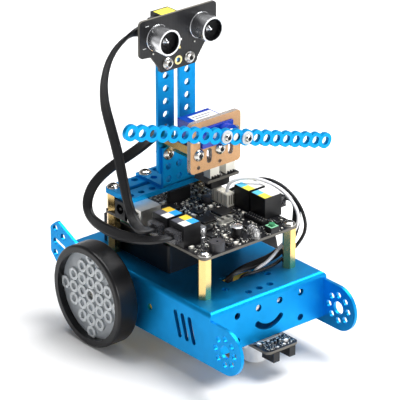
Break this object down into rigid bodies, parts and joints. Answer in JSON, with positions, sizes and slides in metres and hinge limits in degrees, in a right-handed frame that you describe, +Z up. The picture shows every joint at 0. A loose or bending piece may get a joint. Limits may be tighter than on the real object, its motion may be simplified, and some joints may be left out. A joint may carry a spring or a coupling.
{
  "type": "two-wheel educational robot",
  "caption": "Folded aluminium wheeled robot with a ball caster, controller board, ranging head on a mast, servo with a cross strip, line sensor and cables.",
  "frame": {"origin": "on the floor, midway between the contact points of the two drive wheels", "axes": "+Z up, -Y the way the robot's front faces, +X to the right when the front is looked at along +Y, along the wheels' axis"},
  "size_m": [0.1549, 0.1736, 0.1964],
  "materials": {
    "blue_anodised": "satin anodised",
    "strip_blue": "satin anodised",
    "brass": "polished",
    "steel_screw": "bright nickel plate",
    "yellow_case": "moulded",
    "motor_can": "plated",
    "tray_black": "moulded",
    "cell_jacket": "plastic-sleeved",
    "contact": "nickel plate",
    "board_black": "solder mask on glass fibre",
    "board_white_parts": "mixed",
    "black_plastic": "moulded",
    "ivory_plastic": "moulded",
    "usb_shell": "bright plate",
    "green_cap": "moulded",
    "plug_clear": "smoky clear",
    "tyre": "satin",
    "hub_milk": "milky",
    "axle_white": "moulded",
    "kraft": "clear acrylic under kraft paper",
    "servo_blue": "translucent",
    "horn_white": "moulded",
    "can_silver": "turned",
    "caster_white": "moulded",
    "ball_steel": "polished",
    "flat_black": "satin PVC",
    "lead_white": "satin PVC",
    "lead_black": "satin PVC"
  },
  "bodies": {
    "robot": {"chassis": "blue_anodised", "hex_spacers": "brass", "m4_screws": "steel_screw", "m4_nuts": "steel_screw", "left_gearbox": "yellow_case", "left_motor": "motor_can", "right_gearbox": "yellow_case", "right_motor": "motor_can", "motor_screws": "steel_screw", "motor_nuts": "steel_screw", "battery_tray": "tray_black", "battery_cells": "cell_jacket", "battery_contacts": "contact", "controller_board": "board_black", "board_components": "board_white_parts", "buzzer": "black_plastic", "usb_socket": "usb_shell", "power_jack": "black_plastic", "motor_connectors": "ivory_plastic", "button_base": "black_plastic", "power_switch": "usb_shell", "module_jacks": "black_plastic", "cable_plugs": "plug_clear", "bracket_plate": "blue_anodised", "angle_bracket": "blue_anodised", "mast_beams": "blue_anodised", "sensor_board": "board_black", "sensor_cans": "can_silver", "servo_plate": "kraft", "servo_case": "servo_blue", "servo_screws": "steel_screw", "adapter_board": "board_black", "adapter_headers": "ivory_plastic", "line_board": "board_black", "line_inserts": "brass", "line_screws": "steel_screw", "line_eyes": "black_plastic", "caster_housing": "caster_white", "sensor_cable": "flat_black", "adapter_cable": "flat_black", "line_cable": "flat_black", "white_lead": "lead_white", "black_lead": "lead_black"},
    "left_wheel": {"left_hub": "hub_milk", "left_tyre": "tyre", "left_axle": "axle_white", "left_wheel_screw": "steel_screw"},
    "right_wheel": {"right_hub": "hub_milk", "right_tyre": "tyre", "right_axle": "axle_white", "right_wheel_screw": "steel_screw"},
    "servo_arm": {"servo_shaft": "horn_white", "servo_horn": "horn_white", "horn_screw": "steel_screw", "cross_strip": "strip_blue", "strip_screws": "steel_screw", "strip_washers": "horn_white"},
    "ball": {"caster_ball": "ball_steel"},
    "button": {"button_cap": "green_cap"},
    "slider": {"switch_slider": "black_plastic"}
  },
  "joints": [
    {"name": "left_wheel_spin", "type": "hinge", "parent": "robot", "child": "left_wheel", "pos_m": [-0.0541, 0, 0.0312], "axis": [1, 0, 0], "continuous": true},
    {"name": "right_wheel_spin", "type": "hinge", "parent": "robot", "child": "right_wheel", "pos_m": [0.0541, 0, 0.0312], "axis": [1, 0, 0], "continuous": true},
    {"name": "servo_turn", "type": "hinge", "parent": "robot", "child": "servo_arm", "pos_m": [0.0106, -0.0444, 0.1286], "axis": [0, 1, 0], "range_deg": [-45, 22]},
    {"name": "ball_roll", "type": "hinge", "parent": "robot", "child": "ball", "pos_m": [0, -0.0794, 0.006], "axis": [1, 0, 0], "continuous": true},
    {"name": "button_press", "type": "slide", "parent": "robot", "child": "button", "axis": [0, 0, -1], "range_m": [0, 0.0003], "stiffness_N_per_m": 1500, "springref_m": -0.0005},
    {"name": "switch_slide", "type": "slide", "parent": "robot", "child": "slider", "axis": [1, 0, 0], "range_m": [0, 0.002]}
  ]
}
